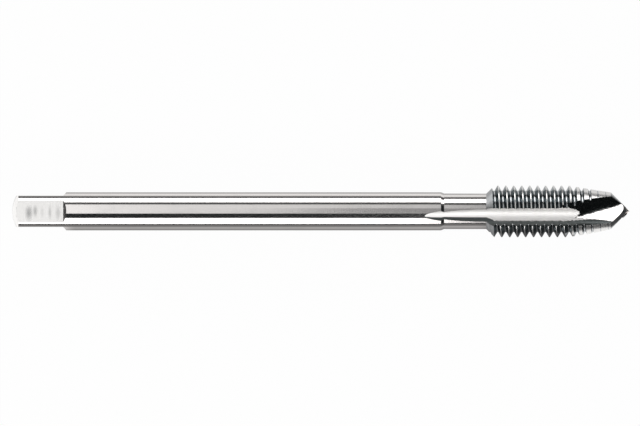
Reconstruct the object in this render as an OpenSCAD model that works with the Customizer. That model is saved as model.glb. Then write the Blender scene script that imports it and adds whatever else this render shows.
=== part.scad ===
// Spiral point machine tap with a reduced shank and a square drive, all ground from one steel bar.
// The tool lies along X, with its square end at -X, its point at +X, and its thread touching Z = 0.
// Each module works along Z, from the square end at Z = 0 to the tip, and tap() lays the tool down.

/* [Overall] */
// Length from the domed end to the tip
overall_l = 97; // [92:0.5:110]

/* [Shank] */
// Diameter of the shank
shank_d = 6; // [5.8:0.1:7]
// Length of the shank, up to the step to the neck
shank_l = 67.4; // [50:0.2:68]
// Diameter of the neck between the shank and the thread
neck_d = 5.6; // [5.2:0.1:5.7]
// Length of the bevel between the shank and the neck
neck_bevel_l = 0.5; // [0.1:0.05:1]
// Radius of the domed end face
dome_r = 5.2; // [4:0.1:12]

/* [Square drive] */
// Width across the flats of the square
square_w = 4.9; // [4.4:0.1:5.2]
// Length of the flats
square_l = 8; // [5:0.5:12]
// Length of the slope where the flats run out into the shank
square_runout_l = 0.5; // [0.2:0.1:2]

/* [Thread] */
// Outside diameter of the thread
thread_d = 8.15; // [7.6:0.05:8.6]
// Pitch of the right-hand thread
pitch = 1.25; // [1:0.05:1.5]
// Length of the thread from the end of the neck to the foot of the point
thread_l = 19.6; // [16:0.1:24]
// Included angle of the thread's flanks
flank_angle = 60; // [55:1:60]
// Width of the flat on each crest, as a share of the pitch
crest_share = 0.125; // [0.1:0.005:0.2]
// Width of the flat at each root, as a share of the pitch
root_share = 0.13; // [0.1:0.005:0.2]
// Turn of the thread about the axis
thread_roll = 105; // [0:7.5:352.5]

/* [Lead and point] */
// Length of the chamfered lead
lead_l = 6.7; // [4:0.1:9]
// Angle between the lead and the axis
lead_angle = 9.2; // [6:0.1:11]
// Included angle of the point
point_angle = 90; // [80:1:120]
// Diameter of the small flat at the tip
tip_d = 0.2; // [0.1:0.05:0.6]

/* [Flutes] */
// Number of flutes
flute_count = 3; // [2:1:3]
// Radius of the flute's round bottom
flute_r = 1.41; // [1.1:0.05:1.5]
// Diameter of the core that the flutes leave
core_d = 4.4; // [3.8:0.1:4.8]
// Turn of the first flute about the axis, away from straight up
flute_roll = 15; // [0:1:60]
// Radius of the wheel that grinds the flutes, which shapes their run-out
flute_wheel_r = 73; // [40:1:100]
// Distance from the neck's end to where the flutes reach full depth
flute_full_l = 1.1; // [0:0.1:4]

/* [Spiral point] */
// Height of the gash's bottom line above the axis, at the foot of the point
gash_floor = 0.65; // [0.5:0.05:1.2]
// Distance of that line from the flute's middle, towards the cutting edge, at the foot of the point
gash_offset = 0.84; // [0.4:0.02:1.2]
// Angle at which the bottom line dives towards the axis
gash_dive = 15.5; // [12:0.5:18]
// Angle at which the bottom line swings towards the cutting edge
gash_swing = 12.6; // [8:0.2:16]
// Rise of the gash's cutting face, across the flute
gash_face_rise = 16; // [8:1:24]
// Rise of the gash's back wall, across the flute
gash_back_rise = 47; // [40:1:55]
// Radius in the bottom of the gash
gash_fillet_r = 0.45; // [0.2:0.05:0.8]

/* [Hidden] */

facets = 48;
round_facets = 72;
// How far the cutting shapes run past the steel.
over = thread_d / 8;
shank_r = shank_d / 2;
neck_r = neck_d / 2;
crest_r = thread_d / 2;
root_r = crest_r - (pitch * (1 - crest_share - root_share) / 2) / tan(flank_angle / 2);
point_foot_r = crest_r - lead_l * tan(lead_angle);
point_l = (point_foot_r - tip_d / 2) / tan(point_angle / 2);
point_foot_z = overall_l - point_l;
lead_z = point_foot_z - lead_l;
neck_end_z = point_foot_z - thread_l;
thread_bevel_l = crest_r - neck_r;
// The flat facets of the thread's crests touch the true diameter, so their corners stand just outside it.
facet_out = 1 / cos(180 / facets);

flute_full_z = neck_end_z + flute_full_l;
core_r = core_d / 2;
// The flutes' run-out is an arc of the wheel, which leaves the shank's surface here.
flute_rise_l = sqrt(pow(flute_wheel_r, 2) - pow(flute_wheel_r - (shank_r - core_r), 2));
flute_start_z = flute_full_z - flute_rise_l;
// Everything past this plane is ground in one piece with the thread.
ground_z = flute_start_z - shank_r / 2;
flute_reach = crest_r + over;

// The gash's bottom line meets the flute's side about this far before the foot of the point.
gash_l = (flute_r + gash_offset) / tan(gash_swing);
gash_reach = 2 * crest_r;
gash_heel = flute_r * 0.78;

// A tooth space of the thread in half section: root flat, flanks, and a little past the crest.
groove_past_crest = over / 25;
groove_root_half = pitch * root_share / 2;
groove_top_half = groove_root_half + (crest_r + groove_past_crest - root_r) * tan(flank_angle / 2);
groove_section = [
  [root_r, -groove_root_half],
  [crest_r + groove_past_crest, -groove_top_half],
  [crest_r + groove_past_crest, groove_top_half],
  [root_r, groove_root_half]
];
groove_start_z = neck_end_z - pitch;
groove_steps = ceil((point_foot_z - groove_start_z) / pitch) * facets;

// One corner of the tooth space, at one step along the helix.
function groove_point(step, corner) = [
  corner[0] * cos(360 * step / facets),
  corner[0] * sin(360 * step / facets),
  groove_start_z + pitch * step / facets + corner[1]
];

// The four faces between two steps of the helix, as triangles.
function groove_band(step) = [
  for (c = [0 : 3])
    let (a = 4 * step + c, b = 4 * step + (c + 1) % 4)
      each [[a, b, a + 4], [b, b + 4, a + 4]]
];

// The helical tooth space that the thread grinding takes out.
module thread_groove() {
  last = 4 * groove_steps;
  rotate([0, 0, thread_roll])
    polyhedron(
      points = [for (i = [0 : groove_steps]) for (corner = groove_section) groove_point(i, corner)],
      faces = concat(
        [[0, 2, 1], [0, 3, 2]],
        [for (i = [0 : groove_steps - 1]) each groove_band(i)],
        [[last, last + 1, last + 2], [last, last + 2, last + 3]]
      ),
      convexity = 20
    );
}

// The turned blank of the working end, with its neck, thread diameter, lead and point.
// Its facets are staggered against the thread's, so that no two edges nearly coincide.
module ground_blank() {
  rotate([0, 0, 180 / facets])
    rotate_extrude($fn = facets)
      polygon([
        [0, ground_z],
        [shank_r, ground_z],
        [shank_r, shank_l],
        [neck_r, shank_l + neck_bevel_l],
        [neck_r, neck_end_z],
        [crest_r * facet_out, neck_end_z + thread_bevel_l],
        [crest_r * facet_out, lead_z],
        [point_foot_r * facet_out, point_foot_z],
        [tip_d / 2, overall_l],
        [0, overall_l]
      ]);
}

// The outline of the flute wheel's rim: a round nose that opens outwards, pointing to -X.
module flute_section(reach) {
  circle(r = flute_r, $fn = 32);
  translate([0, -flute_r]) square([reach, 2 * flute_r]);
}

// What the flute wheel takes out on the +X side: a straight stretch and the arc of its run-out.
module flute_cut() {
  translate([core_r + flute_r, 0, flute_full_z])
    linear_extrude(height = overall_l - flute_full_z + over)
      flute_section(flute_reach);
  translate([core_r + flute_wheel_r, 0, flute_full_z])
    rotate([90, 0, 0])
      rotate([0, 0, 180])
        rotate_extrude($fn = 540, angle = 14)
          translate([flute_wheel_r - flute_r, 0])
            rotate(180)
              flute_section(flute_reach);
}

// The gash in section, with its bottom line at the origin and its cutting face towards -Y.
module gash_section() {
  offset(r = gash_fillet_r, $fn = 24)
    offset(delta = -gash_fillet_r)
      polygon([
        [0, 0],
        [gash_reach * tan(gash_face_rise), -gash_reach],
        [2 * gash_reach, -gash_reach],
        [gash_reach * tan(gash_back_rise), gash_reach]
      ]);
}

// The spiral point's gash on the +X side: it deepens and swings towards the cutting edge.
module gash_cut() {
  gash_sweep = [
    [1, 0, -tan(gash_dive), gash_floor],
    [0, 1, -tan(gash_swing), -gash_offset],
    [0, 0, 1, point_foot_z],
    [0, 0, 0, 1]
  ];
  intersection() {
    multmatrix(gash_sweep)
      translate([0, 0, -gash_l])
        linear_extrude(height = gash_l + point_l + over)
          gash_section();
    // The heel of the next land stays whole, because the gash keeps within the flute.
    translate([0, -gash_reach, point_foot_z - gash_l - over])
      cube([3 * gash_reach, gash_reach + gash_heel, gash_l + point_l + 3 * over]);
  }
}

// The working end: flutes, thread and spiral points ground into the blank.
module ground_end() {
  difference() {
    ground_blank();
    thread_groove();
    for (i = [0 : flute_count - 1])
      rotate([0, 0, 180 + flute_roll + 360 * i / flute_count]) {
        flute_cut();
        gash_cut();
      }
  }
}

// The plain shank up to the ground end, with its dome and square.
module plain_shank() {
  difference() {
    union() {
      intersection() {
        cylinder(r = shank_r, h = dome_r, $fn = round_facets);
        translate([0, 0, dome_r]) sphere(r = dome_r, $fn = round_facets);
      }
      translate([0, 0, dome_r]) cylinder(r = shank_r, h = ground_z - dome_r, $fn = round_facets);
    }
    for (i = [0 : 3])
      rotate([0, 0, 90 * i])
        translate([0, shank_d, 0])
          rotate([90, 0, 0])
            linear_extrude(height = 2 * shank_d)
              square_cut_section();
  }
}

// One flat of the square in half section, with the slope where it runs out into the shank.
module square_cut_section() {
  polygon([
    [square_w / 2, -over],
    [square_w / 2, square_l],
    [shank_r + over, square_l + square_runout_l * (shank_r + over - square_w / 2) / (shank_r - square_w / 2)],
    [shank_r + over, -over]
  ]);
}

// The whole tap, laid down along X.
module tap() {
  color("silver")
    translate([-overall_l / 2, 0, crest_r])
      rotate([0, 90, 0]) {
        plain_shank();
        resize([0, 0, overall_l - ground_z]) ground_end();
      }
}

tap();
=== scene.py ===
"""A long machine tap of bright ground steel, lying on a pale floor under soft studio light."""

import logging
import math
from collections.abc import Mapping
from dataclasses import dataclass, field
from enum import Enum
from typing import Any

import bpy
import numpy as np
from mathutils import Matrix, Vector

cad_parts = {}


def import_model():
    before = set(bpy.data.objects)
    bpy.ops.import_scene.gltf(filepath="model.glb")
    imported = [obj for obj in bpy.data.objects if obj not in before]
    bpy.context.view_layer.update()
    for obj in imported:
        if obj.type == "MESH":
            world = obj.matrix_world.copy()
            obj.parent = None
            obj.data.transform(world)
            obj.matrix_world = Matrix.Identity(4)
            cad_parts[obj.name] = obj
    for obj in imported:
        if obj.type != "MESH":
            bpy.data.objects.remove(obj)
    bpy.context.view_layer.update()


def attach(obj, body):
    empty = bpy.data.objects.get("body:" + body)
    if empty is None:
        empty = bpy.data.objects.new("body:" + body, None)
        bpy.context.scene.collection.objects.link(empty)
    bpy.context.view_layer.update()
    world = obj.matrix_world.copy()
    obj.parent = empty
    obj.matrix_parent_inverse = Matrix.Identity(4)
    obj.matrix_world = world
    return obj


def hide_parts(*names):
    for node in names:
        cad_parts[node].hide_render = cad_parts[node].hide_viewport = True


log = logging.getLogger("machine_tap")

MM = 0.001
IMAGE_WIDTH_PX = 640
IMAGE_HEIGHT_PX = 426
PX_PER_MM = 6.36

# Two lengths in millimetres, or two angles in radians, that differ by less than SAME are equal.
# TINY keeps a divisor from being nothing, and FAR stands for a wall that is never met.
SAME = 1e-6
TINY = 1e-9
FAR = 1e9

Array = np.ndarray
Value = Any


class Zone(Enum):
    """The kinds of surface on the tap, each with its own grinding; some also carry painted shade or
    highlight.

    A face between two rows of different kinds takes the lower number.
    """

    ROUND = 0
    POINT = 1
    FLAT = 2
    DOME = 3
    FLANK = 4
    CREST = 5
    ROOT = 6
    FLUTE = 7
    HEEL = 8
    GASH = 9
    RAKE = 10


@dataclass
class Strip:
    """Rows of nodes on the tap.

    Attributes:
        x: Distances from the domed end, in millimetres.
        radius: Distances from the axis.
        turn: Turns about the axis from straight down towards +Y, in radians.
        zone: Zone numbers.
    """

    x: Array
    radius: Array
    turn: Array
    zone: Array


@dataclass(frozen=True)
class TapSizes:
    """The tap's sizes in millimetres and degrees, named as the part's source names them.

    The thread's diameter is 0.01 less than there, so that its round crests stay within the source's
    facets. The last three sizes are where the gash stops towards the heel, how much of the flute's
    turn on that side is its heel wall in painted shade, and the axis's height above the floor.
    """

    overall_l: float = 97.0
    shank_d: float = 6.0
    shank_l: float = 67.4
    neck_d: float = 5.6
    neck_bevel_l: float = 0.5
    dome_r: float = 5.2
    square_w: float = 4.9
    square_l: float = 8.0
    square_runout_l: float = 0.5
    thread_d: float = 8.14
    pitch: float = 1.25
    thread_l: float = 19.6
    flank_angle: float = 60.0
    crest_share: float = 0.125
    root_share: float = 0.13
    thread_roll: float = 105.0
    lead_l: float = 6.7
    lead_angle: float = 9.2
    point_angle: float = 90.0
    tip_d: float = 0.2
    flute_count: int = 3
    flute_r: float = 1.41
    core_d: float = 4.4
    flute_roll: float = 15.0
    flute_wheel_r: float = 73.0
    flute_full_l: float = 1.1
    gash_floor: float = 0.65
    gash_offset: float = 0.84
    gash_dive: float = 15.5
    gash_swing: float = 12.6
    gash_face_rise: float = 16.0
    gash_back_rise: float = 47.0
    gash_fillet_r: float = 0.45
    gash_heel: float = 1.1
    heel_wall_share: float = 0.33
    axis_height: float = 4.075

    @property
    def crest_r(self) -> float:
        """Radius of the thread's crests."""
        return self.thread_d / 2

    @property
    def flank_slope(self) -> float:
        """Half of a tooth's widening for each millimetre towards the axis."""
        return math.tan(math.radians(self.flank_angle / 2))

    @property
    def root_r(self) -> float:
        """Radius of the thread's roots."""
        depth = self.pitch * (1 - self.crest_share - self.root_share) / 2
        return self.crest_r - depth / self.flank_slope

    @property
    def foot_r(self) -> float:
        """Radius where the lead ends and the point begins."""
        return self.crest_r - self.lead_l * math.tan(math.radians(self.lead_angle))

    @property
    def foot_x(self) -> float:
        """Distance from the domed end to the foot of the point."""
        rise = (self.foot_r - self.tip_d / 2) / math.tan(math.radians(self.point_angle / 2))
        return self.overall_l - rise

    @property
    def lead_x(self) -> float:
        """Distance from the domed end to the start of the lead."""
        return self.foot_x - self.lead_l

    @property
    def neck_end_x(self) -> float:
        """Distance from the domed end to the start of the thread."""
        return self.foot_x - self.thread_l

    @property
    def thread_full_x(self) -> float:
        """Distance from the domed end to where the thread's bevel reaches its full diameter."""
        return self.neck_end_x + self.crest_r - self.neck_d / 2

    @property
    def flute_full_x(self) -> float:
        """Distance from the domed end to where the flutes reach full depth."""
        return self.neck_end_x + self.flute_full_l

    @property
    def flute_start_x(self) -> float:
        """Distance from the domed end to where the flutes' run-out leaves the shank."""
        lift = self.flute_wheel_r - (self.shank_d - self.core_d) / 2
        return self.flute_full_x - math.sqrt(self.flute_wheel_r**2 - lift**2)


@dataclass
class WorkingEnd:
    """The fluted end: outer radius, flutes and gashes as functions of place, all on whole arrays.

    Places are x, the distance from the domed end, and the turn about the axis. In the section of
    one flute, u points outwards along the flute's middle, v towards its cutting edge, and the angle
    off the middle is positive towards that edge.

    Attributes:
        sizes: The tap's sizes.
        land_columns: Columns of nodes on each land.
        cut_columns: Columns of nodes across each flute.
        settle_rounds: Rounds in which the thread's rows settle.
        eye_above: Height of the rays' start above the flute's middle.
        round_off_share: Width of the blend in the gash's bottom, as a share of its fillet.
    """

    sizes: TapSizes
    land_columns: int = 40
    cut_columns: int = 48
    settle_rounds: int = 14
    eye_above: float = 0.3
    round_off_share: float = 0.25

    def blank_radius(self, x: Array) -> Array:
        """The turned blank: shank, bevel, neck, thread, lead and point, joined by straight lines.

        Args:
            x: Distances from the domed end.

        Returns:
            The blank's radius at each distance.
        """
        s = self.sizes
        stations = [
            (s.shank_l, s.shank_d / 2),
            (s.shank_l + s.neck_bevel_l, s.neck_d / 2),
            (s.neck_end_x, s.neck_d / 2),
            (s.thread_full_x, s.crest_r),
            (s.lead_x, s.crest_r),
            (s.foot_x, s.foot_r),
            (s.overall_l, s.tip_d / 2),
        ]
        at, radius = np.array(stations).T
        return np.interp(x, at, radius)

    def flute_middle(self, x: Array) -> Array:
        """Distance from the axis to the middle of the flute's round bottom.

        It is the core's radius plus the flute's, lifted by the arc of the wheel before full depth.

        Args:
            x: Distances from the domed end.

        Returns:
            The distance at each place.
        """
        s = self.sizes
        before = np.clip(s.flute_full_x - x, 0, s.flute_wheel_r / 2)
        lift = s.flute_wheel_r - np.sqrt(s.flute_wheel_r**2 - before**2)
        return s.core_d / 2 + lift + s.flute_r

    def gash_planes(self, x: Array) -> tuple[Array, Array, float, float]:
        """The gash's cutting face and back wall, as straight lines in the section at x.

        The bottom line dives towards the axis and swings towards the cutting edge, in proportion to
        the distance from the point's foot. Each wall passes through it at its own slope.

        Args:
            x: Distances from the domed end.

        Returns:
            Height of the cutting face and of the back wall above the axis, and their slopes across.
        """
        s = self.sizes
        ahead = x - s.foot_x
        bottom_u = s.gash_floor - ahead * math.tan(math.radians(s.gash_dive))
        bottom_v = s.gash_offset + ahead * math.tan(math.radians(s.gash_swing))
        face = math.tan(math.radians(s.gash_face_rise))
        back = math.tan(math.radians(s.gash_back_rise))
        return bottom_u - face * bottom_v, bottom_u + back * bottom_v, face, back

    def cut_ends(self, radius: Array, x: Array) -> tuple[Array, Array]:
        """Angles at which the cuts reach a given radius, on the cutting side and on the heel side.

        The flute reaches it where its circle meets that radius, or further out on its straight
        wall. The gash reaches it where each of its walls is that far from the axis.

        Args:
            radius: Outer radius of the land at each place.
            x: Distances from the domed end.

        Returns:
            The two angles in radians. They are equal where nothing is cut.
        """
        s = self.sizes
        middle = self.flute_middle(x)
        cosine = (radius**2 + middle**2 - s.flute_r**2) / (2 * radius * middle)
        on_circle = np.arccos(np.clip(cosine, -1, 1))
        on_wall = np.arcsin(np.clip(s.flute_r / radius, 0, 1))
        flute = np.where(radius**2 > middle**2 + s.flute_r**2, on_wall, on_circle)

        face_u, back_u, face, back = self.gash_planes(x)
        face_tilt, back_tilt = math.atan(face), math.atan(back)
        face_reach = np.clip(face_u * math.cos(face_tilt) / radius, -1, 1)
        back_reach = np.clip(back_u * math.cos(back_tilt) / radius, -1, 1)
        face_angle = np.arccos(face_reach) - face_tilt
        back_angle = back_tilt - np.arccos(back_reach)
        back_angle = np.maximum(back_angle, -np.arcsin(np.clip(s.gash_heel / radius, 0, 1)))
        gashed = face_angle > back_angle
        bottom = math.atan2(s.gash_offset, s.gash_floor)
        cutting = np.where(gashed, np.maximum(flute, face_angle), flute)
        heel = np.where(gashed, np.minimum(-flute, back_angle), -flute)
        only_gash = gashed & (radius < middle - s.flute_r)
        cutting = np.where(only_gash, face_angle, cutting)
        heel = np.where(only_gash, back_angle, heel)
        bare = ~gashed & (x > s.foot_x) & (radius < middle - s.flute_r)
        return np.where(bare, bottom, cutting), np.where(bare, bottom, heel)

    def cut_point(self, share: Array, radius: Array, x: Array) -> tuple[Array, Array, Array]:
        """A place on the wall of the cut, between its two ends on the land's outer radius.

        A ray runs from a point above the flute's middle, towards the axis and turned by an angle
        that goes evenly from one end of the cut to the other. It stops where it leaves the flute or
        the gash, whichever is further. In the gash's bottom, the nearer wall is blended with the
        other over the fillet. The heel wall lies where the ray turns further than a share of the
        turn at which it would meet the blank.

        Args:
            share: How far across the cut, from 0 at the cutting side to 1 at the heel.
            radius: Outer radius of the land.
            x: Distances from the domed end.

        Returns:
            The place's radius, its angle off the flute's middle, and its zone.
        """
        s = self.sizes
        middle = self.flute_middle(x)
        eye = middle + self.eye_above
        cutting, heel = self.cut_ends(radius, x)
        first = np.arctan2(radius * np.sin(cutting), eye - radius * np.cos(cutting))
        last = np.arctan2(radius * np.sin(heel), eye - radius * np.cos(heel))
        turn = first + (last - first) * share
        cos_turn, sin_turn = np.cos(turn), np.sin(turn)

        across = self.eye_above * sin_turn
        circle = self.eye_above * cos_turn + np.sqrt(s.flute_r**2 - across**2)
        wall = s.flute_r / np.maximum(np.abs(sin_turn), TINY)
        flute = np.where(wall * cos_turn < self.eye_above, wall, circle)

        face_u, back_u, face, back = self.gash_planes(x)
        least_down = 1e-3
        face_down = np.maximum(cos_turn + face * sin_turn, least_down)
        back_down = np.maximum(cos_turn - back * sin_turn, least_down)
        to_face = (eye - face_u) / face_down
        to_back = (eye - back_u) / back_down
        round_off = self.round_off_share * s.gash_fillet_r
        gap = np.maximum(round_off - np.abs(to_face - to_back), 0)
        gash = np.minimum(to_face, to_back) - gap**2 / (4 * round_off)
        to_heel = np.where(sin_turn < 0, s.gash_heel / np.maximum(-sin_turn, TINY), FAR)
        gash = np.minimum(gash, to_heel)

        reach = np.maximum(flute, gash)
        u, v = eye - reach * cos_turn, reach * sin_turn
        inside = np.minimum(np.hypot(u, v), radius)
        angle = np.arctan2(v, u)
        at_first, at_last = share <= 0, share >= 1
        uncut = np.abs(first - last) < SAME
        inside = np.where(at_first | at_last | uncut, radius, inside)
        angle = np.where(at_first | uncut, cutting, np.where(at_last, heel, angle))
        outer = self.blank_radius(x)
        outer_heel = self.cut_ends(outer, x)[1]
        outer_last = np.arctan2(outer * np.sin(outer_heel), eye - outer * np.cos(outer_heel))
        # The heel wall's zone is tinted near black as painted shade.
        in_flute = np.where(
            turn < outer_last * s.heel_wall_share, Zone.HEEL.value, Zone.FLUTE.value
        )
        # The cutting face, RAKE, is tinted near black as painted shade.
        in_gash = np.where(to_face < to_back, Zone.RAKE.value, Zone.GASH.value)
        clearly = 1e-4
        return inside, angle, np.where(gash > flute + clearly, in_gash, in_flute)

    def columns(self) -> tuple[Array, Array, Array]:
        """The grid's columns once round the tap.

        Returns:
            For each column, the angle of the flute's middle in radians, 1 in a cut and 0 on a land,
            and the share of the way across.
        """
        s = self.sizes
        pieces = []
        for i in range(s.flute_count + 1):
            middle = math.radians(180 + s.flute_roll + 360 * (i - 1) / s.flute_count)
            land = np.linspace(0, 1, self.land_columns + 1)[:-1]
            cut = np.linspace(0, 1, self.cut_columns + 1)[:-1]
            pieces.append(np.stack([np.full(cut.shape, middle), np.ones(cut.shape), cut]))
            pieces.append(np.stack([np.full(land.shape, middle), np.zeros(land.shape), land]))
        whole = np.concatenate(pieces, axis=1)
        count = s.flute_count * (self.land_columns + self.cut_columns)
        return tuple(whole[:, : count + 1])

    def place(self, radius: Array, x: Array, land: Array) -> Strip:
        """Radius and turn of every grid node, for a given outer radius and x.

        On a land the turn goes evenly from one flute's heel to the next one's cutting edge.

        Args:
            radius: Outer radius at each node, rows by columns.
            x: Distances from the domed end, rows by columns.
            land: Zone numbers of the nodes that aren't in a cut.

        Returns:
            The strip of nodes.
        """
        middle, in_cut, share = (np.broadcast_to(c, x.shape) for c in self.columns())
        cutting, heel = self.cut_ends(radius, x)
        step = 2 * math.pi / self.sizes.flute_count
        land_start, land_end = middle - heel, middle + step - cutting
        on_land = land_start + (land_end - land_start) * share
        cut_radius, cut_angle, cut_zone = self.cut_point(share, radius, x)
        turn = np.where(in_cut > 0, middle - cut_angle, on_land)
        zone = np.where(in_cut > 0, cut_zone, land)
        return Strip(x, np.where(in_cut > 0, cut_radius, radius), turn, zone)

    def plain_rows(self, x: Array, land: Zone) -> Strip:
        """Rows that each lie in one plane across the axis.

        Args:
            x: The planes' distances from the domed end.
            land: Zone of the nodes that aren't in a cut.

        Returns:
            The strip of nodes.
        """
        grid_x = np.repeat(x[:, None], self.columns()[0].size, axis=1)
        return self.place(self.blank_radius(grid_x), grid_x, np.full(grid_x.shape, land.value))

    def thread_rows(self) -> Strip:
        """Rows that follow the thread's helix, from the end of the neck to the foot of the point.

        Each tooth has rows up its near flank, over its crest and down its far flank. A row keeps
        its distance from the tooth's middle, and the crest's rows widen as the blank's radius
        shrinks, so that they stay on the tooth's edges. x, radius and turn depend on each other and
        are worked out in rounds until they agree. Teeth outside the thread shrink onto its ends.

        Returns:
            The strip of nodes.
        """
        s = self.sizes
        first_tooth, spare_teeth = -3, 5
        climb = np.array([0, 1 / 3, 2 / 3, 1, 1, 1, 2 / 3, 1 / 3, 0])
        side = np.array([-1, -1, -1, -1, 0, 1, 1, 1, 1])
        start = s.neck_end_x - s.pitch * (1 + s.thread_roll / 360) + s.pitch / 2
        teeth = np.arange(first_tooth, math.ceil(s.thread_l / s.pitch) + spare_teeth)
        middle = np.repeat(start + s.pitch * teeth, climb.size)[:, None]
        count = self.columns()[0].size
        climb = np.tile(climb, teeth.size)[:, None]
        # Crests take a white finish as a painted highlight, and flanks a dim one as painted shade.
        land = np.where(climb >= 1, Zone.CREST.value, Zone.FLANK.value)
        land = np.where(climb <= 0, Zone.ROOT.value, land)
        side = np.tile(side, teeth.size)[:, None]
        root_half = s.pitch * (1 - s.root_share) / 2
        nominal = np.linspace(0, 2 * math.pi, count)[None, :] + self.columns()[0][0]
        turn = np.repeat(nominal, middle.size, axis=0)
        x = middle + s.pitch * turn / (2 * math.pi)
        for _ in range(self.settle_rounds):
            blank = self.blank_radius(np.clip(x, s.neck_end_x, s.foot_x))
            crest_half = np.minimum(
                s.pitch * s.crest_share / 2 + (s.crest_r - blank) * s.flank_slope, root_half
            )
            offset = side * (climb * crest_half + (1 - climb) * root_half)
            x = middle + offset + s.pitch * turn / (2 * math.pi)
            x = np.clip(x, s.neck_end_x, s.foot_x)
            blank = self.blank_radius(x)
            radius = climb * blank + (1 - climb) * np.minimum(blank, s.root_r)
            strip = self.place(radius, x, land)
            turn = strip.turn
        on_bevel = (x <= s.thread_full_x) & (radius >= blank - SAME)
        strip.zone = np.where(on_bevel & (strip.radius >= radius), Zone.POINT.value, strip.zone)
        return strip


@dataclass
class SquareEnd:
    """The dome and the square, as rings of columns that keep to the square's edges.

    Attributes:
        sizes: The tap's sizes.
        columns: Columns of nodes once round.
        first_flat: Turn of the first flat's middle, in radians.
        dome_rows: Rows on the dome, as far as the flats.
        rim_rows: Rows from there to the dome's rim.
        square_rows: Rows on the flats, and as many on their run-out.
        flat_share: Share of a quarter's columns that lie on its flat.
    """

    sizes: TapSizes
    columns: int
    first_flat: float
    dome_rows: int = 14
    rim_rows: int = 8
    square_rows: int = 9
    flat_share: float = 0.5

    def rings(self) -> Strip:
        """Rings from the dome's middle to the end of the square's run-out, closed round the axis.

        A flat lies at a constant distance from the axis, and the rest is round. The columns of each
        quarter spread evenly over the flat and then over the round corner, whose edges lie where
        the flat's distance over the radius is the cosine of the angle.

        Returns:
            The strip of nodes.
        """
        s = self.sizes
        half_flat, shank_r = s.square_w / 2, s.shank_d / 2
        rim = s.dome_r - math.sqrt(s.dome_r**2 - shank_r**2)
        flat_rim = s.dome_r - math.sqrt(s.dome_r**2 - half_flat**2)
        runout = s.square_l + s.square_runout_l
        x = np.concatenate(
            [
                flat_rim * np.linspace(0, 1, self.dome_rows) ** 2,
                np.linspace(flat_rim, rim, self.rim_rows)[1:],
                np.linspace(rim, s.square_l, self.square_rows)[1:],
                np.linspace(s.square_l, runout, self.square_rows)[1:],
            ]
        )
        grid_x = np.repeat(x[:, None], self.columns, axis=1)
        dome = np.sqrt(np.maximum(s.dome_r**2 - (s.dome_r - grid_x) ** 2, SAME**2))
        outer = np.minimum(shank_r, dome)
        slope = (shank_r - half_flat) / s.square_runout_l
        flat = half_flat + np.maximum(grid_x - s.square_l, 0) * slope
        edge = np.arccos(np.clip(flat / outer, 0, 1))
        quarter = np.linspace(0, 4, self.columns)
        which, share = np.floor(quarter), quarter % 1
        across = np.where(
            share < self.flat_share,
            edge * (2 * share / self.flat_share - 1),
            edge + (math.pi / 2 - 2 * edge) * (share - self.flat_share) / (1 - self.flat_share),
        )
        least_cosine = 0.1
        outline = np.minimum(outer, flat / np.maximum(np.cos(across), least_cosine))
        radius = np.where(share <= self.flat_share, outline, outer)
        on_square = (grid_x >= flat_rim) & (grid_x <= s.square_l)
        ground_flat = on_square & (share < self.flat_share)
        zone = np.where(ground_flat, Zone.FLAT.value, Zone.ROUND.value)
        zone = np.where(dome <= radius + SAME, Zone.DOME.value, zone)
        return Strip(grid_x, radius, self.first_flat + which * math.pi / 2 + across, zone)


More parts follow.
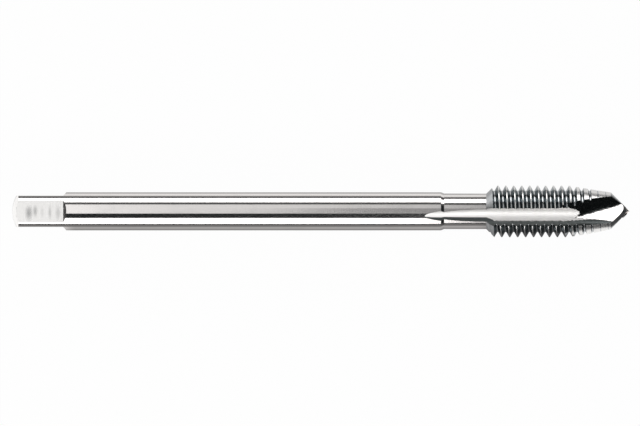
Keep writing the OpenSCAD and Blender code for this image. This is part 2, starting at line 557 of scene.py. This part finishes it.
@dataclass
class TapBody:
    """The whole tap as one closed mesh.

    Attributes:
        sizes: The tap's sizes.
        before_flutes: Length of plain shank before the flutes that has the flutes' columns.
        shank_rows: Rows along the plain shank.
        opening_rows: Rows from the flutes' start to the shank's end.
        neck_rows: Rows along the neck.
        point_rows: Rows along the point.
    """

    sizes: TapSizes = field(default_factory=TapSizes)
    before_flutes: float = 1.0
    shank_rows: int = 36
    opening_rows: int = 14
    neck_rows: int = 24
    point_rows: int = 26

    def strips(self) -> list[Strip]:
        """The strips of rows that cover the tap, from its domed end to its tip.

        From the flutes' start the rows spread by squares, because the flutes widen fast there.

        Returns:
            The strips in their order.
        """
        s = self.sizes
        end = WorkingEnd(s)
        neck_step = [s.shank_l, s.shank_l + s.neck_bevel_l]
        opening = np.linspace(0, 1, self.opening_rows + 1)[:-1] ** 2
        opening_x = s.flute_start_x + (s.shank_l - s.flute_start_x) * opening
        shank_x = np.append(s.flute_start_x - self.before_flutes, opening_x)
        neck_x = np.linspace(neck_step[1], s.neck_end_x, self.neck_rows)
        neck = end.plain_rows(np.concatenate([shank_x, neck_step, neck_x[1:]]), Zone.ROUND)
        nearest_flat = np.round(neck.turn[0, 0] / (math.pi / 2)) * math.pi / 2
        square = SquareEnd(s, neck.x.shape[1], nearest_flat).rings()
        point_x = s.foot_x + (s.overall_l - s.foot_x) * np.linspace(0, 1, self.point_rows)
        point = end.plain_rows(point_x, Zone.POINT)
        return [square, self.shank(square, neck), neck, end.thread_rows(), point]

    def shank(self, first: Strip, last: Strip) -> Strip:
        """Rings of the plain shank, whose columns go over from the square's to the flutes'.

        Every node is on the shank's cylinder, and its turn is mixed evenly from the two ends.

        Args:
            first: The strip before, which ends on the shank's cylinder.
            last: The strip after, which begins on it.

        Returns:
            The strip of nodes.
        """
        share = np.linspace(0, 1, self.shank_rows)[:, None]
        turn = first.turn[-1] + (last.turn[0] - first.turn[-1]) * share
        x = first.x[-1] + (last.x[0] - first.x[-1]) * share
        radius = np.full(x.shape, self.sizes.shank_d / 2)
        return Strip(x, radius, turn, np.full(x.shape, Zone.ROUND.value))

    def mesh(self) -> tuple[Array, Array, Array]:
        """The closed mesh's points, triangles and zones.

        Neighbouring rows are joined node by node, each strip joins the next where their nodes
        coincide, and a fan closes the tip. The dome's first ring is a point already.

        Returns:
            Points in metres in the row frame, three point numbers for each face, and its zone.
        """
        s = self.sizes
        points, faces, zones, base = [], [], [], 0
        for strip in self.strips():
            y, z = strip.radius * np.sin(strip.turn), -strip.radius * np.cos(strip.turn)
            place = np.stack([strip.x - s.overall_l / 2, y, z + s.axis_height], axis=-1)
            points.append(place.reshape(-1, 3))
            number = base + np.arange(strip.x.size).reshape(strip.x.shape)
            a, b = number[:-1, :-1].ravel(), number[:-1, 1:].ravel()
            c, d = number[1:, 1:].ravel(), number[1:, :-1].ravel()
            faces.append(np.concatenate([np.stack([a, b, c], -1), np.stack([a, c, d], -1)]))
            zone = np.minimum(strip.zone[:-1, :-1], strip.zone[1:, :-1])
            zones.append(np.tile(zone.ravel(), 2))
            base += strip.x.size
        rim = number[-1]
        points.append(np.array([[s.overall_l / 2, 0.0, s.axis_height]]))
        faces.append(np.stack([rim[:-1], rim[1:], np.full(rim.size - 1, base)], -1))
        zones.append(np.full(rim.size - 1, Zone.POINT.value))
        places = np.concatenate(points) * MM
        return merged(places, np.concatenate(faces), np.concatenate(zones))


def merged(
    points: Array, faces: Array, zones: Array, step: float = 2e-7, off_ties: float = 0.37
) -> tuple[Array, Array, Array]:
    """Merges points that share a place, and drops the triangles that this closes up.

    Args:
        points: Points in metres.
        faces: Three point numbers for each triangle.
        zones: Each triangle's zone.
        step: Points that round to the same multiple of this many metres are one.
        off_ties: Part of a step that is added first, so that round sizes don't fall between two.

    Returns:
        The remaining points, triangles and zones.
    """
    key = np.round(points / step + off_ties).astype(np.int64)
    _, first, number = np.unique(key, axis=0, return_index=True, return_inverse=True)
    triangles = number.reshape(-1)[faces]
    a, b, c = triangles.T
    sound = (a != b) & (b != c) & (a != c)
    return points[first], triangles[sound], zones[sound]


def new_mesh(name: str, points: Array, triangles: Array) -> bpy.types.Object:
    """Makes an object from arrays of points and triangles.

    Args:
        name: The object's name.
        points: Points in metres.
        triangles: Three point numbers for each face.

    Returns:
        The object, linked to the scene.
    """
    mesh = bpy.data.meshes.new(name)
    mesh.from_pydata(points.tolist(), [], triangles.tolist())
    mesh.update()
    thing = bpy.data.objects.new(name, mesh)
    bpy.context.scene.collection.objects.link(thing)
    return thing


@dataclass
class Net:
    """A material's node tree, with one way to make any node."""

    tree: bpy.types.NodeTree

    @classmethod
    def within(cls, owner: bpy.types.Material | bpy.types.World) -> "Net":
        """Empties the node tree of a material or a world.

        Args:
            owner: The material or world.

        Returns:
            Its empty net.
        """
        owner.use_nodes = True
        owner.node_tree.nodes.clear()
        return cls(owner.node_tree)

    def node(
        self, kind: str, settings: Mapping[str, Any], inputs: Mapping[Any, Value]
    ) -> bpy.types.Node:
        """Makes a node.

        Args:
            kind: The node's type.
            settings: Its settings, set first.
            inputs: Values or sockets for its inputs, by name or number.

        Returns:
            The node.
        """
        made = self.tree.nodes.new(kind)
        for name, value in settings.items():
            setattr(made, name, value)
        for name, value in inputs.items():
            if isinstance(value, Socket):
                self.tree.links.new(value.out, made.inputs[name])
            else:
                made.inputs[name].default_value = value
        return made

    def socket(
        self, kind: str, settings: Mapping[str, Any], inputs: Mapping[Any, Value], out: Any = 0
    ) -> "Socket":
        """Makes a node and wraps one of its outputs."""
        return Socket(self, self.node(kind, settings, inputs).outputs[out])

    def place(self) -> "Socket":
        """The place on the piece, in metres."""
        return self.socket("ShaderNodeTexCoord", {}, {}, "Object")


@dataclass
class Socket:
    """A node's output that takes part in sums written as Python expressions."""

    net: Net
    out: bpy.types.NodeSocket

    def sum(self, operation: str, *others: Value, first: Value | None = None) -> "Socket":
        """One Math node.

        Args:
            operation: The node's operation.
            others: The operation's further values.
            first: The first value, where it isn't this socket.

        Returns:
            The result.
        """
        values = [self if first is None else first, *others]
        return self.net.socket("ShaderNodeMath", {"operation": operation}, dict(enumerate(values)))

    def __add__(self, other: Value) -> "Socket":
        """The sum."""
        return self.sum("ADD", other)

    def __radd__(self, other: Value) -> "Socket":
        """The sum, from the right."""
        return self.sum("ADD", other)

    def __sub__(self, other: Value) -> "Socket":
        """The difference."""
        return self.sum("SUBTRACT", other)

    def __rsub__(self, other: Value) -> "Socket":
        """The difference, from the right."""
        return self.sum("SUBTRACT", self, first=other)

    def __mul__(self, other: Value) -> "Socket":
        """The product."""
        return self.sum("MULTIPLY", other)

    def __rmul__(self, other: Value) -> "Socket":
        """The product, from the right."""
        return self.sum("MULTIPLY", other)

    def clamped(self) -> "Socket":
        """The value kept between 0 and 1."""
        return self.net.socket("ShaderNodeClamp", {}, {"Value": self})

    def eased(self, low: float, high: float) -> "Socket":
        """The value's smooth rise from 0 at low to 1 at high."""
        inputs = {"Value": self, "From Min": low, "From Max": high}
        return self.net.socket("ShaderNodeMapRange", {"interpolation_type": "SMOOTHSTEP"}, inputs)

    def tinted(self, dark: tuple, light: tuple) -> "Socket":
        """A colour that goes from dark to light with the value."""
        settings = {"data_type": "RGBA", "clamp_factor": True}
        return self.net.socket("ShaderNodeMix", settings, {0: self, 6: dark, 7: light}, 2)

    def axis(self, name: str) -> "Socket":
        """One of the place's coordinates, "X", "Y" or "Z"."""
        return self.net.socket("ShaderNodeSeparateXYZ", {}, {0: self}, name)

    def moved(self, by: tuple[float, float, float]) -> "Socket":
        """The place, moved along each axis."""
        return self.net.socket("ShaderNodeVectorMath", {"operation": "ADD"}, {0: self, 1: by})

    def stretched(self, scale: tuple[float, float, float]) -> "Socket":
        """The place, multiplied along each axis."""
        settings = {"operation": "MULTIPLY"}
        return self.net.socket("ShaderNodeVectorMath", settings, {0: self, 1: scale})

    def length(self) -> "Socket":
        """The place's distance from the origin."""
        settings = {"operation": "LENGTH"}
        return self.net.socket("ShaderNodeVectorMath", settings, {0: self}, "Value")

    def noise(self, scale: float, detail: float) -> "Socket":
        """Noise over the place, from 0 to 1."""
        inputs = {"Vector": self, "Scale": scale, "Detail": detail}
        return self.net.socket("ShaderNodeTexNoise", {}, inputs)


class Lay(Enum):
    """Which way the grinding marks run, as the stretch of a pattern along X, Y and Z."""

    ROUND = (1.0, 0.004, 0.004)
    ALONG = (0.02, 1.0, 1.0)


@dataclass(frozen=True)
class Smudge:
    """A faint dark mark on the upper flat, left by handling.

    Its middle is at x, y and z, and it reaches reach_x, reach_y and reach_z from there, in
    millimetres. Its strength is how dark its middle is, from 0 to 1.
    """

    x: float
    y: float
    reach_x: float
    reach_y: float
    strength: float
    z: float = 6.525
    reach_z: float = 0.3

    def tone(self, place: Socket) -> Socket:
        """Works out its darkness, which falls smoothly from its middle to its reach.

        Args:
            place: The place on the piece, in metres.

        Returns:
            The darkness.
        """
        offset = place.moved((-self.x * MM, -self.y * MM, -self.z * MM))
        reach = (self.reach_x, self.reach_y, self.reach_z)
        scaled = offset.stretched(tuple(1 / (r * MM) for r in reach))
        return (1.0 - scaled.length().eased(0.0, 1.0)) * self.strength


@dataclass(frozen=True)
class GroundSteel:
    """Bright ground steel: fine parallel marks, and slight stains from handling.

    Attributes:
        name: The material's name.
        lay: Which way the marks run.
        tint: The steel's colour; darkened as painted shade on the flanks, heel wall and cutting
            face, and lightened as a painted highlight on the crests.
        stain: Its colour where it is duller.
        roughness: Its roughness between marks.
        mark_depth: How strongly the marks show in the surface's slope.
        mark_tone: How much the marks change the colour and the roughness.
        marks_per_mm: How many marks there are in a millimetre.
        stain_share: How much of it is stained, from 0 to 1.
        smudges: Dark marks from handling.
    """

    name: str
    lay: Lay
    tint: tuple[float, float, float, float]
    stain: tuple[float, float, float, float]
    roughness: float
    mark_depth: float
    mark_tone: float
    marks_per_mm: float
    stain_share: float
    smudges: tuple[Smudge, ...] = ()

    def material(self) -> bpy.types.Material:
        """Makes the material.

        The marks are noise stretched along the lay, at two widths. The stains are broad noise, and
        break up the smudges. All of them move the colour and the roughness, and the marks also tilt
        the surface.

        Returns:
            The material.
        """
        fine_share, times_broader = 0.65, 7.0
        stain_stretch, stains_per_mm = (0.45, 1.0, 1.0), 0.35
        stain_from, stain_full = 0.5, 0.78
        fine_detail, broad_detail, stain_detail = 3.0, 2.0, 4.0
        mean, worn_roughness, relief_mm = 0.5, 0.08, 0.02

        made = bpy.data.materials.new(self.name)
        net = Net.within(made)
        place = net.place()
        across = place.stretched(self.lay.value)
        fine = across.noise(self.marks_per_mm / MM, fine_detail)
        broad = across.noise(self.marks_per_mm / MM / times_broader, broad_detail)
        marks = (fine * fine_share + broad * (1 - fine_share)).clamped()
        stains = place.stretched(stain_stretch).noise(stains_per_mm / MM, stain_detail)
        marked = (marks - mean) * self.mark_tone
        worn = stains.eased(stain_from, stain_full) * self.stain_share + marked
        for smudge in self.smudges:
            worn = worn + smudge.tone(place) * (stains + mean)
        worn = worn.clamped()
        rough = self.roughness + marked + worn * worn_roughness
        slope = {"Strength": self.mark_depth, "Distance": relief_mm * MM, "Height": marks}
        steel = {
            "Base Color": worn.tinted(self.tint, self.stain),
            "Roughness": rough,
            "Normal": net.socket("ShaderNodeBump", {}, slope),
            "Metallic": 1.0,
        }
        shader = net.socket("ShaderNodeBsdfPrincipled", {}, steel)
        net.node("ShaderNodeOutputMaterial", {}, {"Surface": shader})
        return made


WHITE = (0.96, 0.945, 0.93, 1.0)
BRIGHT = (0.82, 0.79, 0.775, 1.0)
DULL = (0.56, 0.55, 0.54, 1.0)
GREY = (0.62, 0.63, 0.64, 1.0)
# Painted shade: the dim tint that keeps the thread's flanks dark.
GROOVE_SHADE = (0.26, 0.29, 0.30, 1.0)
DARK = (0.28, 0.30, 0.31, 1.0)
# Near black: painted shade on the flanks, heel wall and cutting face, and a dark stain on the
# square.
SHADE_AND_STAIN = (0.10, 0.11, 0.11, 1.0)
PALE = (0.86, 0.86, 0.86, 1.0)
UNLIT = (0.0, 0.0, 0.0, 1.0)
LIT = (1.0, 1.0, 1.0, 1.0)

FLAT_SMUDGES = (
    Smudge(-45.9, -0.35, 0.8, 1.7, 0.5),
    Smudge(-44.9, 0.0, 0.5, 1.3, 0.4),
    Smudge(-43.8, -0.2, 0.4, 1.4, 0.14),
    Smudge(-42.6, -0.2, 0.4, 1.5, 0.3),
    Smudge(-41.3, -0.3, 0.6, 1.6, 0.28),
)

# After the name and the lay come the tint and the stain, then the roughness, the marks' depth, tone
# and number per millimetre, and the stained share.
FINISHES: dict[Zone, GroundSteel] = {
    Zone.ROUND: GroundSteel("shank ground", Lay.ROUND, BRIGHT, DULL, 0.10, 0.05, 0.05, 9.0, 0.25),
    Zone.POINT: GroundSteel("point ground", Lay.ROUND, GREY, DARK, 0.20, 0.10, 0.12, 9.0, 0.4),
    Zone.FLAT: GroundSteel(
        "square ground", Lay.ROUND, WHITE, SHADE_AND_STAIN, 0.24, 0.10, 0.10, 3.0, 0.06, FLAT_SMUDGES
    ),
    Zone.DOME: GroundSteel("dome turned", Lay.ROUND, WHITE, DULL, 0.22, 0.10, 0.06, 6.0, 0.2),
    # The flanks' dim tint is painted shade in the thread's grooves.
    Zone.FLANK: GroundSteel("thread flanks", Lay.ROUND, GROOVE_SHADE, SHADE_AND_STAIN, 0.14, 0.06, 0.08, 12.0, 0.5),
    # The crests' white tint is a painted highlight along the crest lines.
    Zone.CREST: GroundSteel("thread crests", Lay.ROUND, WHITE, GREY, 0.28, 0.10, 0.10, 12.0, 0.2),
    Zone.ROOT: GroundSteel("thread roots", Lay.ROUND, GREY, DARK, 0.20, 0.06, 0.08, 12.0, 0.3),
    Zone.FLUTE: GroundSteel("flute ground", Lay.ALONG, WHITE, BRIGHT, 0.55, 0.06, 0.06, 8.0, 0.2),
    # The heel wall's near-black tint is painted shade in the flute.
    Zone.HEEL: GroundSteel("heel wall", Lay.ALONG, SHADE_AND_STAIN, DARK, 0.40, 0.20, 0.20, 8.0, 0.4),
    Zone.GASH: GroundSteel("gash ground", Lay.ALONG, BRIGHT, DULL, 0.12, 0.10, 0.08, 8.0, 0.3),
    # The cutting face's near-black tint is painted shade.
    Zone.RAKE: GroundSteel("cutting face", Lay.ALONG, SHADE_AND_STAIN, GREY, 0.14, 0.10, 0.08, 8.0, 0.3),
}


@dataclass
class TapPiece:
    """The tap as a dressed object that stands for the frame's own node.

    Attributes:
        body: The tap's form.
        crease_deg: Least angle between two faces that makes their edge sharp.
        same_radius_mm: Radii that differ by less than this are the same.
    """

    body: TapBody = field(default_factory=TapBody)
    crease_deg: float = 15.0
    same_radius_mm: float = 1e-5

    def corner_normals(
        self, mesh: bpy.types.Mesh, points: Array, triangles: Array, zones: Array
    ) -> Array:
        """The smooth normals, pointing straight away from the axis on the plain cylinders.

        A face is on a plain cylinder where it is ground round and its three radii are the same.
        There the narrow faces beside a flute's start would otherwise bend the reflections.

        Args:
            mesh: The mesh, with its sharp edges set.
            points: Its points in metres.
            triangles: Three point numbers for each face.
            zones: Each face's zone.

        Returns:
            One normal for each corner of each face.
        """
        flat = np.empty(len(mesh.loops) * 3, dtype=np.float32)
        mesh.corner_normals.foreach_get("vector", flat)
        normals = flat.reshape(-1, 3, 3)
        axis = np.array([0, 0, self.body.sizes.axis_height * MM])
        outward = (points - axis) * np.array([0, 1, 1])
        radius = np.linalg.norm(outward, axis=1)
        even = np.ptp(radius[triangles], axis=1) < self.same_radius_mm * MM
        plain = even & (zones == Zone.ROUND.value)
        corners_at = triangles[plain]
        normals[plain] = outward[corners_at] / radius[corners_at][..., None]
        return normals.reshape(-1, 3)

    def build(self) -> bpy.types.Object:
        """Makes the object, with one finish for each zone and sharp edges where it is ground sharp.

        Returns:
            The object.
        """
        points, triangles, zones = self.body.mesh()
        piece = new_mesh("tap_dressed", points, triangles)
        mesh = piece.data
        for zone in Zone:
            mesh.materials.append(FINISHES[zone].material())
        mesh.polygons.foreach_set("material_index", zones.astype(np.int32))
        mesh.polygons.foreach_set("use_smooth", np.ones(len(triangles), dtype=bool))
        mesh.set_sharp_from_angle(angle=math.radians(self.crease_deg))
        mesh.update()
        normals = self.corner_normals(mesh, points, triangles, zones)
        mesh.normals_split_custom_set(normals.tolist())
        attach(piece, "root")
        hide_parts("tap")
        log.info("%s: %d points, %d triangles", piece.name, len(points), len(triangles))
        return piece


@dataclass(frozen=True)
class StripLamp:
    """A long soft lamp beside the tap, parallel to it.

    Attributes:
        name: The lamp's name.
        low_deg: Where it begins, as the angle from straight up towards +Y, seen from the tap.
        high_deg: Where it ends.
        brightness: How bright its face is, where 1 is white.
        start: Its end towards the domed end, in distances from the tap.
        end: Its end towards the point.
    """

    name: str
    low_deg: float
    high_deg: float
    brightness: float
    start: float = -2.0
    end: float = 2.0

    def build(self, centre: Vector, distance: float) -> bpy.types.Object:
        """Makes the lamp.

        A face of brightness L and area A gives off pi L A watts in Blender's units.

        Args:
            centre: The place that it faces.
            distance: Its distance from there, in metres.

        Returns:
            The lamp.
        """
        middle = math.radians((self.low_deg + self.high_deg) / 2)
        half = math.radians((self.high_deg - self.low_deg) / 2)
        width = 2 * distance * math.tan(half)
        length = (self.end - self.start) * distance
        data = bpy.data.lights.new(self.name, "AREA")
        data.shape = "RECTANGLE"
        data.size, data.size_y = length, width
        data.energy = math.pi * self.brightness * length * width
        lamp = bpy.data.objects.new(self.name, data)
        bpy.context.scene.collection.objects.link(lamp)
        along = (self.start + self.end) / 2
        lamp.location = centre + distance * Vector((along, math.sin(middle), math.cos(middle)))
        lamp.rotation_euler = (-middle, 0.0, 0.0)
        lamp.visible_camera = False
        log.info("%s: %.2f by %.2f m", self.name, length, width)
        return lamp


@dataclass(frozen=True)
class Ramp:
    """A smooth rise from 0 to 1 between two distances in millimetres."""

    start: float
    end: float

    def of(self, distance: Socket) -> Socket:
        """The rise at a distance that is in metres."""
        return distance.eased(self.start * MM, self.end * MM)


@dataclass(frozen=True)
class PaintedFloorReflection:
    """Painted reflection: how bright the floor looks in the steel, where 1 is white.

    Beside the tap the tone changes along it, and it is lighter towards +Y than towards -Y. Further
    out and past the tap's ends it falls to the far tone. A name with lower is for the -Y side, and
    one with more or less is added or taken off there. The ramps by and past the square and the dome
    count towards -X.
    """

    shank_lower: float = 0.27
    shank_upper_more: float = 0.55
    # Painted shadow of the tap: the share of the tone kept close beside it.
    painted_shadow_share: float = 0.4
    square_lower_more: float = 0.45
    thread_lower: float = 0.03
    thread_upper_more: float = 0.67
    lead_lower_more: float = 0.9
    before_dome: float = 0.95
    beside_share: float = 0.9
    far: float = 0.2
    far_thread_less: float = 0.12
    upper_side: Ramp = Ramp(-2.0, 2.0)
    past_painted_shadow: Ramp = Ramp(6.5, 10.0)
    past_beside: Ramp = Ramp(17.0, 24.0)
    by_square: Ramp = Ramp(38.5, 41.5)
    by_dome: Ramp = Ramp(48.0, 51.0)
    past_dome: Ramp = Ramp(62.0, 75.0)
    by_thread: Ramp = Ramp(24.0, 30.0)
    by_lead: Ramp = Ramp(39.5, 42.0)
    past_point: Ramp = Ramp(47.0, 51.0)

    def tone(self, place: Socket) -> Socket:
        """Works out the painted reflection tone from the place on the floor.

        Args:
            place: The place, with the tap's middle at the origin.

        Returns:
            The tone.
        """
        along, side = place.axis("X"), place.axis("Y")
        back, away = 0.0 - along, side.sum("ABSOLUTE")
        upper = self.upper_side.of(side)
        lower = 1.0 - upper
        # Painted shadow of the tap on the floor as the steel sees it: darker close beside the tap.
        near = self.painted_shadow_share + self.past_painted_shadow.of(away) * (1.0 - self.painted_shadow_share)
        shank = near * (self.shank_lower + upper * self.shank_upper_more)
        shank = shank + self.by_square.of(back) * lower * self.square_lower_more
        thread = self.thread_lower + upper * self.thread_upper_more
        thread = thread + self.by_lead.of(along) * lower * self.lead_lower_more
        by_thread = self.by_thread.of(along)
        beside = shank + (thread - shank) * by_thread
        beside = beside + (self.before_dome - beside) * self.by_dome.of(back)
        within = (1.0 - self.past_point.of(along)) * (1.0 - self.past_dome.of(back))
        within = within * (1.0 - self.past_beside.of(away))
        return self.far - by_thread * self.far_thread_less + beside * within * self.beside_share


@dataclass
class Studio:
    """The floor, the world, the lamps and the camera, round a tap of the given sizes.

    Attributes:
        sizes: The tap's sizes.
        lamp_distance: Distance of the lamps from the tap, in metres.
        floor_half: Half of the floor's side, in metres.
        floor_white_share: How much of the floor, as the camera sees it, is plain white. The rest
            takes the tap's shadow.
        room_colour: Colour of the room between the lamps.
        camera_height: Height of the camera, in metres.
        camera_reach: How far it sees, in metres.
        image_axis_px: Row of the photograph on which the tap's axis lies.
        image_start_px: Column of the photograph at which the tap begins.
        mirrored: The floor's painted reflection tones in the steel.
        lamps: The lamps: name, start and end angle, brightness, and start and end along the tap.
    """

    sizes: TapSizes
    lamp_distance: float = 0.5
    floor_half: float = 3.0
    floor_white_share: float = 0.97
    room_colour: tuple[float, float, float, float] = (0.014, 0.0165, 0.0175, 1.0)
    camera_height: float = 1.0
    camera_reach: float = 10.0
    image_axis_px: float = 211.3
    image_start_px: float = 12.3
    mirrored: PaintedFloorReflection = PaintedFloorReflection()
    lamps: tuple[StripLamp, ...] = (
        StripLamp("overhead panel, square end", -13.3, 42.0, 1.10, -1.5, -0.066),
        StripLamp("overhead panel, shank", -13.3, 42.0, 0.80, -0.066, -0.004),
        StripLamp("overhead panel, run-out, lower half", -13.3, 18.0, 0.30, -0.004, 0.05),
        StripLamp("overhead panel, run-out, upper half", 18.0, 42.0, 0.66, -0.004, 0.05),
        StripLamp("overhead panel, thread", -13.3, 42.0, 0.24, 0.05, 0.6),
        StripLamp("side panel, thread", -62.0, -13.3, 2.6, 0.10, 0.6),
        StripLamp("dim edge between the panels", 43.0, 55.5, 0.08),
        StripLamp("upper panel", 56.7, 86.0, 2.0),
        StripLamp("lower panel", -82.0, -42.0, 2.2, -2.0, 0.042),
    )

    def floor(self) -> bpy.types.Object:
        """Makes the floor: pale and matt, and white to the camera except where the tap shades it;
        in the steel it glows with painted reflection tones.

        Returns:
            The floor.
        """
        half = self.floor_half
        outline = np.array([[-half, -half, 0], [half, -half, 0], [half, half, 0], [-half, half, 0]])
        made = new_mesh("floor", outline, np.array([[0, 1, 2], [0, 2, 3]]))
        material = bpy.data.materials.new("pale floor")
        net = Net.within(material)
        path = net.node("ShaderNodeLightPath", {}, {}).outputs
        seen = Socket(net, path["Is Camera Ray"])
        mirrored = Socket(net, path["Is Glossy Ray"]) + Socket(net, path["Is Transmission Ray"])
        share = (seen * self.floor_white_share + mirrored).clamped()
        # Glossy and transmission rays see painted reflection tones, with a painted shadow beside
        # the tap, instead of the lit floor.
        tone = seen + self.mirrored.tone(net.place()) * (1.0 - seen)
        matt = net.socket("ShaderNodeBsdfDiffuse", {}, {"Color": PALE})
        glow = {"Color": tone.tinted(UNLIT, LIT), "Strength": 1.0}
        white = net.socket("ShaderNodeEmission", {}, glow)
        mixed = net.socket("ShaderNodeMixShader", {}, {0: share, 1: matt, 2: white})
        net.node("ShaderNodeOutputMaterial", {}, {"Surface": mixed})
        made.data.materials.append(material)
        return made

    def world(self) -> None:
        """Sets a dim room, so that the gaps between the lamps show as dark lines in the steel."""
        room = bpy.data.worlds.new("dim room")
        bpy.context.scene.world = room
        net = Net.within(room)
        dim = net.socket("ShaderNodeBackground", {}, {"Color": self.room_colour, "Strength": 1.0})
        net.node("ShaderNodeOutputWorld", {}, {"Surface": dim})

    def camera(self) -> bpy.types.Object:
        """Makes the camera, straight above and without perspective, as the photograph was taken.

        Returns:
            The camera.
        """
        data = bpy.data.cameras.new("camera")
        data.type = "ORTHO"
        data.ortho_scale = IMAGE_WIDTH_PX / PX_PER_MM * MM
        data.clip_end = self.camera_reach
        camera = bpy.data.objects.new("camera", data)
        bpy.context.scene.collection.objects.link(camera)
        x = (IMAGE_WIDTH_PX / 2 - self.image_start_px) / PX_PER_MM - self.sizes.overall_l / 2
        y = (self.image_axis_px - IMAGE_HEIGHT_PX / 2) / PX_PER_MM
        camera.location = (x * MM, y * MM, self.camera_height)
        bpy.context.scene.camera = camera
        return camera

    def build(self) -> None:
        """Builds the studio."""
        self.floor()
        self.world()
        for lamp in self.lamps:
            lamp.build(Vector((0.0, 0.0, self.sizes.axis_height * MM)), self.lamp_distance)
        self.camera()
        bpy.context.scene.view_settings.view_transform = "Standard"
        log.info("studio: floor, world, %d lamps and camera", len(self.lamps))


def main() -> None:
    """Builds the tap and its studio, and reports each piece."""
    logging.basicConfig(level=logging.INFO, format="%(name)s: %(message)s")
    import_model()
    piece = TapPiece()
    piece.build()
    Studio(piece.body.sizes).build()


if __name__ == "__main__":
    main()
